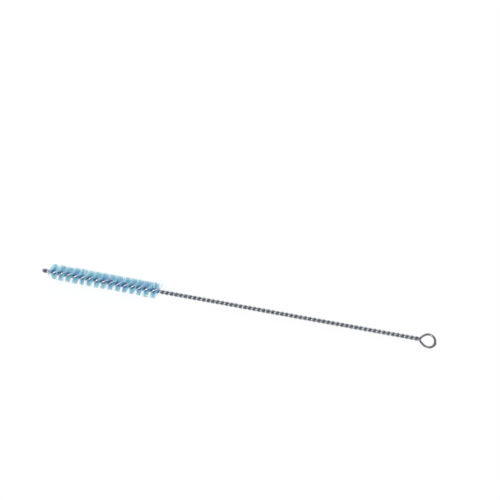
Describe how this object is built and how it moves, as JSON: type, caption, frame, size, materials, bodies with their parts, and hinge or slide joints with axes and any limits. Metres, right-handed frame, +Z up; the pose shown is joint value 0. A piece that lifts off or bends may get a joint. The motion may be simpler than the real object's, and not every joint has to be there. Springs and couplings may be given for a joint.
{
  "type": "test tube brush",
  "caption": "Slim twisted-wire test tube brush: a spiral of short light-blue nylon bristles at one end, a long bare twisted handle and a wire hanging ring at the other.",
  "frame": {"origin": "on the ground, below the middle of the brush as it lies at rest", "axes": "+X runs from the folded tip to the hanging ring, +Y across the ring, +Z up from the ground"},
  "size_m": [0.2608, 0.0103, 0.0112],
  "materials": {
    "steel_wire": "drawn wire, bright on the crowns of the twist and slightly dulled between them",
    "nylon": "translucent light-blue filaments"
  },
  "bodies": {
    "root": {"wire": "steel_wire", "bristles": "nylon"}
  },
  "joints": []
}
